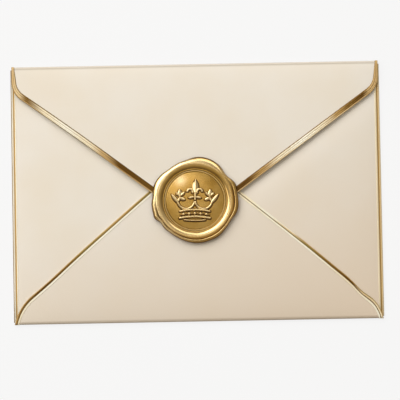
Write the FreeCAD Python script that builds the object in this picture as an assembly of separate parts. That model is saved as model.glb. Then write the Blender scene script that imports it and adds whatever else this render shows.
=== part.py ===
import FreeCAD, Part

import math
import os
from typing import NamedTuple

from FreeCAD import Vector

# A sealed paper envelope that lies on its address side, with its flaps and seal up.
# Lengths are millimetres and angles are degrees.
# X runs along the long side, Y runs up the flap side as it is read, and Z points up.
# The origin is on the table, under the middle of the outer rectangle.

# Envelope
ENVELOPE_WIDTH = 162.0
ENVELOPE_HEIGHT = 114.0
PAPER = 0.30
POCKET_GAP = 0.40
LAYER_GAP = 0.10
PILLOW_RISE = 1.80

# Top flap
TOP_SHOULDER_DROP = 12.1
TOP_SHOULDER_INSET = 0.0
TOP_SHOULDER_RADIUS = 10.0
TOP_TIP_PAST_MIDDLE = 14.4
TOP_TIP_X = -0.8
TOP_TIP_RADIUS = 8.0

# Bottom flap
BOTTOM_SHOULDER_DROP = 7.6
BOTTOM_SHOULDER_INSET = 1.2
BOTTOM_SHOULDER_RADIUS = 15.0
BOTTOM_TIP_PAST_MIDDLE = 17.3
BOTTOM_TIP_X = -1.8
BOTTOM_TIP_RADIUS = 8.0

# Side flaps, which stop short of the top and bottom creases
SIDE_TIP_INSET = 8.0
SIDE_TIP_HALF_WIDTH = 7.0
SIDE_TIP_RADIUS = 6.0
SIDE_SETBACK = 0.30

# Gilt borders: foil on the paper, with raised beads given as (start, end) from the edge
FOIL = 0.12
BEAD_RISE = 0.10
TOP_BORDER_BEADS = ((0.0, 0.8), (1.1, 3.0))
BOTTOM_BORDER_BEADS = ((0.0, 1.05), (1.25, 1.65))
SIDE_BORDER_BEADS = ((0.15, 1.2),)
SIDE_BORDER_WIDTH = 1.3
BORDER_END_SHARE = 0.5
BORDER_CLEARANCE = 0.15

# Wax seal: the wax spreads as a circle with soft bulges of (bearing, reach, spread)
SEAL_X = -0.9
SEAL_Y = -4.0
WAX_RADIUS = 17.3
WAX_BULGES = (
    (75.0, 2.2, 36.0),
    (154.0, 1.6, 25.0),
    (195.0, 1.7, 29.0),
    (278.0, 1.6, 36.0),
    (351.0, 1.9, 29.0),
    (22.0, 1.1, 10.0),
)
WAX_OUTLINE_POINTS = 36
WAX_BURIED = 1.6
SKIRT_HEIGHT = 0.4
RIM_RADIUS = 16.2
RIM_HEIGHT = 2.0
RIM_STEPS = 4
LEDGE_RADIUS = 14.1
LEDGE_HEIGHT = 1.1

# Stamped face and its crown, with heights above the face and places from its middle
FACE_RADIUS = 12.8
FACE_HEIGHT = 0.8
FACE_STEPS = ((13.5, 0.95), (FACE_RADIUS, FACE_HEIGHT))
STAMP_TURN = -1.1
RELIEF = 0.50
RELIEF_SINK = 0.30
RELIEF_DRAFT = 0.40
CENTRE_LEAVES = (
    ((0.0, 1.0), (0.0, 9.1), 1.35),
    ((0.0, 1.7), (0.0, -0.2), 0.50),
)
PAIRED_LEAVES = (
    ((0.2, 0.9), (3.0, 1.2), 0.50),
    ((6.5, 0.9), (6.9, 4.6), 0.90),
    ((6.7, 2.1), (4.6, 3.2), 0.35),
    ((6.6, 2.2), (8.4, 3.1), 0.35),
    ((6.9, 1.5), (4.3, 0.4), 0.48),
    ((6.4, 1.8), (7.1, -0.3), 0.42),
    ((7.1, -1.3), (10.8, 2.9), 0.65),
)
PAIRED_BARS = (
    ((0.5, 2.4), (1.7, 5.0), (3.1, 4.2), 0.42),
    ((0.4, -1.1), (3.85, -3.8), (7.3, -1.2), 0.42),
)
BAND_BARS = (
    ((-6.6, -4.8), (0.0, -4.2), (6.6, -4.8), 0.40),
    ((-6.7, -7.8), (0.0, -7.25), (6.7, -7.8), 0.40),
    ((-5.1, -8.6), (0.0, -9.15), (5.1, -8.6), 0.28),
)
PEARL_SPACING = 2.65
PEARLS_EACH_SIDE = 2
PEARL_ROW = -6.05
PEARL_RADIUS = 0.58

# Worked out from the sizes above
BORDER_HEIGHT = FOIL + BEAD_RISE
SIDE_LEVEL = PAPER + POCKET_GAP
BOTTOM_LEVEL = SIDE_LEVEL + PAPER + LAYER_GAP
TOP_LEVEL = BOTTOM_LEVEL + PAPER + BORDER_HEIGHT + LAYER_GAP
SIDE_FOLD_RADIUS = (SIDE_LEVEL + PAPER) / 2
BOTTOM_FOLD_RADIUS = (BOTTOM_LEVEL + PAPER) / 2
TOP_FOLD_RADIUS = (TOP_LEVEL + PAPER) / 2
PANEL_HALF = ENVELOPE_WIDTH / 2 - FOIL - SIDE_FOLD_RADIUS
PANEL_TOP = ENVELOPE_HEIGHT / 2 - FOIL - TOP_FOLD_RADIUS
PANEL_BOTTOM = -ENVELOPE_HEIGHT / 2 + FOIL + BOTTOM_FOLD_RADIUS
SIDE_TOP = PANEL_TOP - SIDE_SETBACK
SIDE_BOTTOM = PANEL_BOTTOM + SIDE_SETBACK
SEAL_BASE = TOP_LEVEL + PAPER + PILLOW_RISE

# How far a cutting outline runs past the paper that it trims
OVERSHOOT = 10.0
UP = Vector(0, 0, 1)


class Flap(NamedTuple):
    """A flap that is folded over from the top edge (sign 1) or the bottom edge (sign -1)."""

    sign: int
    crease: float
    fold_radius: float
    level: float
    shoulder_drop: float
    shoulder_inset: float
    shoulder_radius: float
    tip_past_middle: float
    tip_x: float
    tip_radius: float
    beads: tuple


TOP_FLAP = Flap(
    1,
    PANEL_TOP,
    TOP_FOLD_RADIUS,
    TOP_LEVEL,
    TOP_SHOULDER_DROP,
    TOP_SHOULDER_INSET,
    TOP_SHOULDER_RADIUS,
    TOP_TIP_PAST_MIDDLE,
    TOP_TIP_X,
    TOP_TIP_RADIUS,
    TOP_BORDER_BEADS,
)
BOTTOM_FLAP = Flap(
    -1,
    PANEL_BOTTOM,
    BOTTOM_FOLD_RADIUS,
    BOTTOM_LEVEL,
    BOTTOM_SHOULDER_DROP,
    BOTTOM_SHOULDER_INSET,
    BOTTOM_SHOULDER_RADIUS,
    BOTTOM_TIP_PAST_MIDDLE,
    BOTTOM_TIP_X,
    BOTTOM_TIP_RADIUS,
    BOTTOM_BORDER_BEADS,
)


def meet(point, along, other, other_along):
    """The point where two straight lines in the plane cross."""
    cross = along.x * other_along.y - along.y * other_along.x
    gap = other - point
    share = (gap.x * other_along.y - gap.y * other_along.x) / cross
    return point + along * share


def rounded_face(corners):
    """A flat face through corners of (x, y, radius), each rounded by an arc."""
    points = [Vector(x, y, 0) for x, y, _ in corners]
    bends = []
    for index, (_, _, radius) in enumerate(corners):
        corner = points[index]
        back = (points[index - 1] - corner).normalize()
        ahead = (points[(index + 1) % len(points)] - corner).normalize()
        if radius <= 0:
            bends.append((corner, None, corner))
            continue
        half = back.getAngle(ahead) / 2
        reach = radius / math.tan(half)
        middle = corner + (back + ahead).normalize() * (radius / math.sin(half) - radius)
        bends.append((corner + back * reach, middle, corner + ahead * reach))
    edges = []
    for index, (start, middle, end) in enumerate(bends):
        if middle is not None:
            edges.append(Part.Arc(start, middle, end).toShape())
        following = bends[(index + 1) % len(bends)][0]
        edges.append(Part.LineSegment(end, following).toShape())
    return Part.Face(Part.Wire(edges))


def prism(face, low=-OVERSHOOT, high=OVERSHOOT):
    """A flat face at height 0, drawn out from one height to another."""
    lowered = face.copy()
    lowered.translate(Vector(0, 0, low))
    return lowered.extrude(Vector(0, 0, high - low))


def pillow_slab(low, thickness):
    """A sheet over the whole front that rises as (1 - u**4) * (1 - v**4) from the creases.

    One surface patch of degree four holds that shape exactly: the Bernstein
    coefficients of 1 - u**4 over a span from -1 to 1 are 0, 2, 0, 2, 0.
    """
    rise = (0.0, 2.0, 0.0, 2.0, 0.0)
    order = len(rise) - 1
    patch = Part.BezierSurface()
    patch.increase(order, order)
    for i, rise_x in enumerate(rise):
        x = PANEL_HALF * (2 * i / order - 1)
        for j, rise_y in enumerate(rise):
            y = PANEL_BOTTOM + (PANEL_TOP - PANEL_BOTTOM) * j / order
            z = low + PILLOW_RISE * rise_x * rise_y
            patch.setPole(i + 1, j + 1, Vector(x, y, z))
    return patch.toShape().extrude(UP * thickness)


def flap_side(flap, side, inset):
    """The crease end and the shoulder on one side of a flap, and the way on to its tip."""
    shoulder_y = flap.sign * (ENVELOPE_HEIGHT / 2 - flap.shoulder_drop)
    shoulder = Vector(side * (PANEL_HALF - flap.shoulder_inset), shoulder_y, 0)
    tip = Vector(flap.tip_x, -flap.sign * flap.tip_past_middle, 0)
    slope = (tip - shoulder).normalize()
    inward = Vector(-side * abs(slope.y), flap.sign * abs(slope.x), 0)
    fold_end = Vector(side * (PANEL_HALF - inset * BORDER_END_SHARE), flap.crease, 0)
    down = shoulder - Vector(side * inset, 0, 0) - fold_end
    return fold_end, meet(fold_end, down, shoulder + inward * inset, slope), slope


def flap_face(flap, inset=0.0):
    """The outline of a flap, from its crease to rounded shoulders and a rounded tip.

    A positive inset gives a line inside the edge for a border, which narrows
    towards the crease.
    """
    right_end, right_shoulder, right_slope = flap_side(flap, 1, inset)
    left_end, left_shoulder, left_slope = flap_side(flap, -1, inset)
    tip = meet(right_shoulder, right_slope, left_shoulder, left_slope)
    beyond = Vector(0, flap.sign * OVERSHOOT, 0)
    shoulder_radius = flap.shoulder_radius - inset
    corners = (
        (right_end + beyond, 0),
        (right_end, 0),
        (right_shoulder, shoulder_radius),
        (tip, flap.tip_radius - inset),
        (left_shoulder, shoulder_radius),
        (left_end, 0),
        (left_end + beyond, 0),
    )
    return rounded_face([(point.x, point.y, radius) for point, radius in corners])


def flap_band(flap, start, end):
    """The part of a flap between two distances from its edge."""
    return prism(flap_face(flap, start).cut(flap_face(flap, end)))


def side_flap_face(side):
    """The outline of the right flap (side 1) or the left flap (side -1)."""
    corners = (
        (PANEL_HALF + OVERSHOOT, SIDE_TOP, 0),
        (PANEL_HALF, SIDE_TOP, 0),
        (SIDE_TIP_INSET, SIDE_TIP_HALF_WIDTH, SIDE_TIP_RADIUS),
        (SIDE_TIP_INSET, -SIDE_TIP_HALF_WIDTH, SIDE_TIP_RADIUS),
        (PANEL_HALF, SIDE_BOTTOM, 0),
        (PANEL_HALF + OVERSHOOT, SIDE_BOTTOM, 0),
    )
    return rounded_face([(side * x, y, radius) for x, y, radius in corners])


def fold(start, outward, along, radius):
    """The half tube of paper that turns the front panel over into a flap."""
    centre = start + UP * radius
    inner = radius - PAPER
    section = Part.Wire(
        [
            Part.Arc(centre - UP * radius, centre + outward * radius, centre + UP * radius).toShape(),
            Part.LineSegment(centre + UP * radius, centre + UP * inner).toShape(),
            Part.Arc(centre + UP * inner, centre + outward * inner, centre - UP * inner).toShape(),
            Part.LineSegment(centre - UP * inner, centre - UP * radius).toShape(),
        ]
    )
    return Part.Face(section).extrude(along)


def foil_on_fold(start, outward, along, radius):
    """Foil laid over the upper outside quarter of a fold."""
    centre = start + UP * radius
    diagonal = (outward + UP).normalize()
    outer = radius + FOIL
    section = Part.Wire(
        [
            Part.Arc(centre + outward * outer, centre + diagonal * outer, centre + UP * outer).toShape(),
            Part.LineSegment(centre + UP * outer, centre + UP * radius).toShape(),
            Part.Arc(centre + UP * radius, centre + diagonal * radius, centre + outward * radius).toShape(),
            Part.LineSegment(centre + outward * radius, centre + outward * outer).toShape(),
        ]
    )
    return Part.Face(section).extrude(along)


def side_fold(side):
    """The crease between the front panel and a side flap."""
    start = Vector(side * PANEL_HALF, SIDE_BOTTOM, 0)
    return fold(start, Vector(side, 0, 0), Vector(0, SIDE_TOP - SIDE_BOTTOM, 0), SIDE_FOLD_RADIUS)


def flap_fold(flap):
    """The crease between the front panel and the top or bottom flap."""
    start = Vector(-PANEL_HALF, flap.crease, 0)
    return fold(start, Vector(0, flap.sign, 0), Vector(2 * PANEL_HALF, 0, 0), flap.fold_radius)


def envelope_sheet():
    """The whole folded blank: front panel, four creases and four flaps in one sheet."""
    corner = Vector(-PANEL_HALF, PANEL_BOTTOM, 0)
    panel = Part.makeBox(2 * PANEL_HALF, PANEL_TOP - PANEL_BOTTOM, PAPER, corner)
    creases = [side_fold(-1), side_fold(1), flap_fold(TOP_FLAP), flap_fold(BOTTOM_FLAP)]
    flaps = [pillow_slab(SIDE_LEVEL, PAPER).common(prism(side_flap_face(side))) for side in (-1, 1)]
    for flap in (BOTTOM_FLAP, TOP_FLAP):
        flaps.append(pillow_slab(flap.level, PAPER).common(prism(flap_face(flap))))
    return panel.multiFuse(creases + flaps).removeSplitter()


def flap_border(flap):
    """Foil along a flap's edge, its raised beads, and its ends laid over the crease."""
    width = flap.beads[-1][1]
    surface = flap.level + PAPER
    strip = pillow_slab(surface, FOIL).common(flap_band(flap, 0.0, width))
    parts = [pillow_slab(surface, BORDER_HEIGHT).common(flap_band(flap, *bead)) for bead in flap.beads]
    for side in (-1, 1):
        start = Vector(side * PANEL_HALF, flap.crease, 0)
        run = Vector(-side * width * BORDER_END_SHARE, 0, 0)
        parts.append(foil_on_fold(start, Vector(0, flap.sign, 0), run, flap.fold_radius))
    return strip.multiFuse(parts).removeSplitter()


def side_strip(start, end, thickness):
    """Foil on the right flap between two distances from its crease."""
    face = Part.makePlane(end - start, SIDE_TOP - SIDE_BOTTOM, Vector(PANEL_HALF - end, SIDE_BOTTOM, 0))
    return pillow_slab(SIDE_LEVEL + PAPER, thickness).common(prism(face))


def side_border(side):
    """Foil along a side crease, which stops where the bottom flap covers it."""
    run = Vector(0, SIDE_TOP - SIDE_BOTTOM, 0)
    crease = Vector(PANEL_HALF, SIDE_BOTTOM, 0)
    parts = [side_strip(start, end, BORDER_HEIGHT) for start, end in SIDE_BORDER_BEADS]
    parts.append(foil_on_fold(crease, Vector(1, 0, 0), run, SIDE_FOLD_RADIUS))
    border = side_strip(0.0, SIDE_BORDER_WIDTH, FOIL).multiFuse(parts)
    if side < 0:
        border = border.mirror(Vector(0, 0, 0), Vector(1, 0, 0))
    return border.cut(prism(flap_face(BOTTOM_FLAP, -BORDER_CLEARANCE))).removeSplitter()


def wax_outline(share, radius, height):
    """A closed curve round the seal, with a share of the bulges on a circle."""
    points = []
    for step in range(WAX_OUTLINE_POINTS):
        bearing = 360.0 * step / WAX_OUTLINE_POINTS
        reach = radius
        for middle, bulge, spread in WAX_BULGES:
            turn = (bearing - middle + 180) % 360 - 180
            reach += share * bulge * math.exp(-((turn / spread) ** 2))
        angle = math.radians(bearing)
        points.append(Vector(reach * math.cos(angle), reach * math.sin(angle), height))
    curve = Part.BSplineCurve()
    even = list(range(WAX_OUTLINE_POINTS + 1))
    curve.interpolate(Points=points, PeriodicFlag=True, Parameters=even)
    return Part.Wire(curve.toShape())


def poured_wax():
    """The wax: a skirt, a rim rounded as two quarter ellipses, and a ledge inside it."""
    turns = [math.radians(90.0 * step / RIM_STEPS) for step in range(RIM_STEPS + 1)]
    sections = [wax_outline(1.0, WAX_RADIUS, -WAX_BURIED)]
    for turn in turns:
        share = math.cos(turn)
        radius = RIM_RADIUS + (WAX_RADIUS - RIM_RADIUS) * share
        height = SKIRT_HEIGHT + (RIM_HEIGHT - SKIRT_HEIGHT) * math.sin(turn)
        sections.append(wax_outline(share, radius, height))
    for turn in turns[1:]:
        radius = RIM_RADIUS - (RIM_RADIUS - LEDGE_RADIUS) * math.sin(turn)
        height = LEDGE_HEIGHT + (RIM_HEIGHT - LEDGE_HEIGHT) * math.cos(turn)
        sections.append(wax_outline(0.0, radius, height))
    return Part.makeLoft(sections, True, True)


def leaf(foot, tip, half_width):
    """A pointed leaf between two arcs, with sides that slope in to a narrow top."""
    start = Vector(*foot, FACE_HEIGHT)
    end = Vector(*tip, FACE_HEIGHT)
    across = (end - start).cross(UP).normalize()

    def lens(width, rise):
        low = start + UP * rise
        high = end + UP * rise
        middle = (low + high) / 2
        return Part.Wire(
            [
                Part.Arc(low, middle + across * width, high).toShape(),
                Part.Arc(high, middle - across * width, low).toShape(),
            ]
        )

    sections = [lens(half_width, -RELIEF_SINK), lens(half_width * RELIEF_DRAFT, RELIEF)]
    return Part.makeLoft(sections, True, True)


def bar(start, middle, end, half_width):
    """A bar bent through three places, with sides that slope in to a narrow top."""
    arc = Part.Arc(*[Vector(*place, FACE_HEIGHT) for place in (start, middle, end)]).toShape()
    circle = arc.Curve
    begin = arc.valueAt(arc.FirstParameter)
    radial = (begin - circle.Center).normalize()
    top = half_width * RELIEF_DRAFT
    corners = [
        begin + radial * side + UP * rise
        for side, rise in (
            (-half_width, -RELIEF_SINK),
            (half_width, -RELIEF_SINK),
            (top, RELIEF),
            (-top, RELIEF),
        )
    ]
    section = Part.Face(Part.makePolygon(corners + corners[:1]))
    sweep = math.degrees(arc.LastParameter - arc.FirstParameter)
    return section.revolve(circle.Center, circle.Axis, sweep)


def pearl(u, v):
    """A low round bead: a leaf as wide as it is long."""
    return leaf((u - PEARL_RADIUS, v), (u + PEARL_RADIUS, v), PEARL_RADIUS)


def mirrored(place):
    """The same place on the other side of the crown."""
    return (-place[0], place[1])


def crown_relief():
    """The crown: three lilies on two swags, over a band with a row of pearls."""
    shapes = [leaf(*sizes) for sizes in CENTRE_LEAVES]
    for foot, tip, half_width in PAIRED_LEAVES:
        shapes.append(leaf(foot, tip, half_width))
        shapes.append(leaf(mirrored(foot), mirrored(tip), half_width))
    for start, middle, end, half_width in PAIRED_BARS:
        shapes.append(bar(start, middle, end, half_width))
        shapes.append(bar(mirrored(start), mirrored(middle), mirrored(end), half_width))
    shapes += [bar(*sizes) for sizes in BAND_BARS]
    for step in range(-PEARLS_EACH_SIDE, PEARLS_EACH_SIDE + 1):
        shapes.append(pearl(step * PEARL_SPACING, PEARL_ROW))
    return shapes


def flap_columns(flap):
    """Everything below the top of a flap and of its foil."""
    surface = OVERSHOOT + flap.level + PAPER
    width = flap.beads[-1][1]
    columns = [pillow_slab(-OVERSHOOT, surface).common(prism(flap_face(flap)))]
    columns.append(pillow_slab(-OVERSHOOT, surface + FOIL).common(flap_band(flap, 0.0, width)))
    for bead in flap.beads:
        columns.append(pillow_slab(-OVERSHOOT, surface + BORDER_HEIGHT).common(flap_band(flap, *bead)))
    return columns


def wax_seal():
    """The wax, its stamped face and the crown in one piece, seated on the flaps."""
    seal = poured_wax()
    for radius, height in FACE_STEPS:
        seal = seal.cut(Part.makeCylinder(radius, RIM_HEIGHT, Vector(0, 0, height)))
    seal = seal.multiFuse(crown_relief())
    seal.rotate(Vector(0, 0, 0), UP, STAMP_TURN)
    seal.translate(Vector(SEAL_X, SEAL_Y, SEAL_BASE))
    side_flaps = pillow_slab(-OVERSHOOT, OVERSHOOT + SIDE_LEVEL + PAPER)
    for column in [side_flaps] + flap_columns(BOTTOM_FLAP) + flap_columns(TOP_FLAP):
        seal = seal.cut(column)
    return seal.removeSplitter()


def main():
    """Write one file for each piece."""
    os.makedirs("parts", exist_ok=True)
    pieces = {
        "envelope_sheet": envelope_sheet(),
        "top_flap_gilt_border": flap_border(TOP_FLAP),
        "bottom_flap_gilt_border": flap_border(BOTTOM_FLAP),
        "left_side_gilt_border": side_border(-1),
        "right_side_gilt_border": side_border(1),
        "wax_seal": wax_seal(),
    }
    for name, piece in pieces.items():
        piece.exportStep(f"parts/{name}.step")


main()
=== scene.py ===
"""A sealed envelope: cream paper, gilt borders on the flaps and a stamped gold wax seal.

Sizes are in millimetres, as a stationer gives them, and meshes are written in metres.
X runs along the long side, Y up the flap side as it is read, and Z up from the table.
"""

import logging
import math
from dataclasses import dataclass, field, replace
from enum import Enum
from typing import Sequence

import bmesh
import bpy
import numpy as np
from mathutils import Matrix, Vector


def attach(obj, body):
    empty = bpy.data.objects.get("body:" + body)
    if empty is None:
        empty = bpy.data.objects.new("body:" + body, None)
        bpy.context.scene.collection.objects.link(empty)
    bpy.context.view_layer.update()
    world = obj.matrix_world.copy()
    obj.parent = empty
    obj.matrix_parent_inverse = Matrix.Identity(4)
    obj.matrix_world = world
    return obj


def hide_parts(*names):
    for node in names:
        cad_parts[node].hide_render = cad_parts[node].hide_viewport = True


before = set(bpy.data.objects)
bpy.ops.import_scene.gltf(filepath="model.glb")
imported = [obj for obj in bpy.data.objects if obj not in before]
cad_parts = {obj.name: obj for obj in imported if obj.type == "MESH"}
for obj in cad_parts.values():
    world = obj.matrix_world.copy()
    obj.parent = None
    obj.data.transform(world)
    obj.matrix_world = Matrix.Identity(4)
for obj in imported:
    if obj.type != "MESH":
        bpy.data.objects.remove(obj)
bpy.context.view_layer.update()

LOG = logging.getLogger("envelope")
MM = 0.001
BODY = "root"
Array = np.ndarray
Colour = tuple[float, float, float]
Corner = tuple[float, float, float]
Stop = tuple[float, Colour]
Paint = Colour | bpy.types.NodeSocket


def linear(red: int, green: int, blue: int) -> Colour:
    """Turn a screen colour, from 0 to 255, into the linear values that a shader takes."""
    shares = np.array([red, green, blue]) / 255.0
    curve = np.where(shares <= 0.04045, shares / 12.92, ((shares + 0.055) / 1.055) ** 2.4)
    return tuple(float(value) for value in curve)


def eased(count: int) -> Array:
    """Places from -1 to 1 that crowd at both ends: the sine of evenly divided angles."""
    return np.sin(np.linspace(-0.5, 0.5, count) * math.pi)


def smooth(values: Array) -> Array:
    """The curve 3t^2 - 2t^3 of values held between 0 and 1."""
    held = np.clip(values, 0.0, 1.0)
    return held * held * (3.0 - 2.0 * held)


def bell(values: Array, middle: float, spread: float) -> Array:
    """The bell curve exp(-((x - middle) / spread)^2)."""
    return np.exp(-(((values - middle) / spread) ** 2))


def sided(bearing: Array, middle_degrees: float, level: float, swing: float = 0.8) -> Array:
    """A soft half circle of bearings: the smooth curve of level + swing * cos(turn from the middle)."""
    return smooth(level + swing * np.cos(bearing - math.radians(middle_degrees)))


def stacked(x: Array, y: Array, z: Array) -> Array:
    """Points in space, from coordinates that are each spread over the shape of all three."""
    return np.stack(np.broadcast_arrays(x, y, z), axis=-1)


def half_turn(angle: Array | float) -> Array | float:
    """The same direction as an angle from minus half a turn to half a turn."""
    return (angle + math.pi) % (2.0 * math.pi) - math.pi


def unit(vector: Array) -> Array:
    """The vector divided by its length."""
    return vector / np.linalg.norm(vector)


def meeting(point: Array, along: Array, other: Array, way: Array) -> Array:
    """Find where two straight lines in the plane cross.

    Args:
        point: A point of the first line.
        along: The first line's direction.
        other: A point of the second line.
        way: The second line's direction.

    Returns:
        The crossing point.
    """
    gap = other - point
    cross = along[0] * way[1] - along[1] * way[0]
    return point + along * (gap[0] * way[1] - gap[1] * way[0]) / cross


def straight(start: Array, end: Array, count: int) -> Array:
    """Evenly spaced points from start up to, but without, the end."""
    return start + (end - start) * np.linspace(0.0, 1.0, count, endpoint=False)[:, None]


def rounded_path(corners: Sequence[Corner], counts: Sequence[int], bend_count: int) -> Array:
    """Walk a plane path whose inner corners are rounded by arcs.

    Stretches between arcs are straight and evenly divided, and an arc is its centre
    plus the radius times (cos, sin) of evenly divided angles.

    Args:
        corners: Corners as (x, y, radius), of which those without a radius stay sharp.
        counts: How many points each straight stretch has.
        bend_count: How many points each arc has.

    Returns:
        An array of points, one row each.
    """
    places = np.array([corner[:2] for corner in corners], float)
    pieces = []
    cursor = places[0]
    for index in range(1, len(corners) - 1):
        corner, radius = places[index], corners[index][2]
        if radius <= 0.0:
            pieces.append(straight(cursor, corner, counts[index - 1]))
            cursor = corner
            continue
        back, ahead = unit(places[index - 1] - corner), unit(places[index + 1] - corner)
        half = 0.5 * math.acos(float(np.clip(back @ ahead, -1.0, 1.0)))
        reach = radius / math.tan(half)
        start, end = corner + back * reach, corner + ahead * reach
        centre = corner + unit(back + ahead) * radius / math.sin(half)
        first = math.atan2(*(start - centre)[::-1])
        last = math.atan2(*(end - centre)[::-1])
        sweep = half_turn(last - first)
        angles = first + sweep * np.linspace(0.0, 1.0, bend_count, endpoint=False)
        pieces.append(straight(cursor, start, counts[index - 1]))
        pieces.append(centre + radius * np.column_stack([np.cos(angles), np.sin(angles)]))
        cursor = end
    pieces.append(straight(cursor, places[-1], counts[-1]))
    pieces.append(places[-1:])
    return np.vstack(pieces)


class Surface:
    """A mesh in the making: points in millimetres, faces, and values on the points."""

    MERGE_WITHIN = 2e-7
    SLIVER = 1e-8

    def __init__(self) -> None:
        """Start with nothing."""
        self.points: list[Array] = []
        self.faces: list[Array] = []
        self.values: dict[str, list[Array]] = {}
        self.count = 0

    def grid(
        self,
        points: Array,
        wrap_rows: bool = False,
        wrap_columns: bool = False,
        **values: Array,
    ) -> None:
        """Add a grid of points and the four-sided faces between them.

        Args:
            points: An array of rows by columns by 3.
            wrap_rows: Whether the last row joins the first.
            wrap_columns: Whether the last column joins the first.
            values: Arrays of rows by columns, kept as attributes on the points.
        """
        rows, columns = points.shape[:2]
        index = np.arange(rows * columns).reshape(rows, columns) + self.count
        if wrap_rows:
            index = np.vstack([index, index[:1]])
        if wrap_columns:
            index = np.hstack([index, index[:, :1]])
        quads = np.stack([index[:-1, :-1], index[1:, :-1], index[1:, 1:], index[:-1, 1:]], axis=-1)
        self.points.append(points.reshape(-1, 3))
        self.faces.append(quads.reshape(-1, 4))
        for name, value in values.items():
            flat = np.broadcast_to(value, (rows, columns)).ravel()
            self.values.setdefault(name, []).append(flat)
        self.count += rows * columns

    def slab(self, outer: Array, inner: Array, tone: Array) -> None:
        """Add a closed sheet between two grids of one size.

        The section through a row runs along the outer grid and back along the inner
        one, so a grid that is wrapped round its columns closes both long edges, and
        the first and last sections are closed by strips of their own.

        Args:
            outer: The side that faces outwards, rows by columns by 3.
            inner: The other side.
            tone: How dark the painted crease shade makes each place, rows by columns.
        """
        ring = np.concatenate([outer, inner[:, ::-1]], axis=1)
        shade = np.concatenate([tone, tone[:, ::-1]], axis=1)
        self.grid(ring, wrap_columns=True, tone=shade)
        self.grid(np.stack([inner[0], outer[0]]), tone=np.stack([tone[0], tone[0]]))
        self.grid(np.stack([outer[-1], inner[-1]]), tone=np.stack([tone[-1], tone[-1]]))

    def mesh(self, name: str, sharp_degrees: float) -> bpy.types.Object:
        """Write the surface as a Blender object with closed seams and outward faces.

        Args:
            name: The piece's name.
            sharp_degrees: Edges that turn more than this stay sharp.

        Returns:
            The new object, at the origin, riding on the body.
        """
        points = np.vstack(self.points) * MM
        faces = np.vstack(self.faces)
        data = bpy.data.meshes.new(name)
        data.from_pydata(points.tolist(), [], faces.tolist())
        for key, parts in self.values.items():
            layer = data.attributes.new(key, "FLOAT", "POINT")
            layer.data.foreach_set("value", np.concatenate(parts).astype(np.float32))
        self.close(data)
        data.polygons.foreach_set("use_smooth", np.ones(len(data.polygons), bool))
        data.set_sharp_from_angle(angle=math.radians(sharp_degrees))
        piece = bpy.data.objects.new(name, data)
        bpy.context.scene.collection.objects.link(piece)
        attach(piece, BODY)
        return piece

    @staticmethod
    def close(data: bpy.types.Mesh) -> None:
        """Merge the mesh's points that lie together and turn every face outwards."""
        work = bmesh.new()
        work.from_mesh(data)
        bmesh.ops.remove_doubles(work, verts=work.verts, dist=Surface.MERGE_WITHIN)
        bmesh.ops.dissolve_degenerate(work, edges=work.edges, dist=Surface.SLIVER)
        bmesh.ops.recalc_face_normals(work, faces=work.faces)
        work.to_mesh(data)
        work.free()


@dataclass(frozen=True)
class Number:
    """A shader number, on which Python's operators add Math nodes."""

    graph: "Graph"
    socket: bpy.types.NodeSocket

    def maths(self, operation: str, *operands: "Number | float") -> "Number":
        """The result of a new Math node with these operands, in order."""
        inputs = dict(enumerate(operands))
        node = self.graph.node("ShaderNodeMath", {"operation": operation}, inputs)
        return Number(self.graph, node.outputs[0])

    def __add__(self, other: "Number | float") -> "Number":
        """Self plus other."""
        return self.maths("ADD", self, other)

    def __radd__(self, other: float) -> "Number":
        """Other plus self."""
        return self.maths("ADD", other, self)

    def __sub__(self, other: "Number | float") -> "Number":
        """Self minus other."""
        return self.maths("SUBTRACT", self, other)

    def __rsub__(self, other: float) -> "Number":
        """Other minus self."""
        return self.maths("SUBTRACT", other, self)

    def __mul__(self, other: "Number | float") -> "Number":
        """Self times other."""
        return self.maths("MULTIPLY", self, other)

    def __rmul__(self, other: float) -> "Number":
        """Other times self."""
        return self.maths("MULTIPLY", other, self)

    def __truediv__(self, other: "Number | float") -> "Number":
        """Self divided by other."""
        return self.maths("DIVIDE", self, other)

    def clamped(self) -> "Number":
        """Self held between 0 and 1."""
        return self.maths("MINIMUM", self.maths("MAXIMUM", self, 0.0), 1.0)

    def between(self, low: float, high: float) -> "Number":
        """0 below low, 1 above high and a straight line between, held at both ends."""
        return ((self - low) / (high - low)).clamped()


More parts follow.
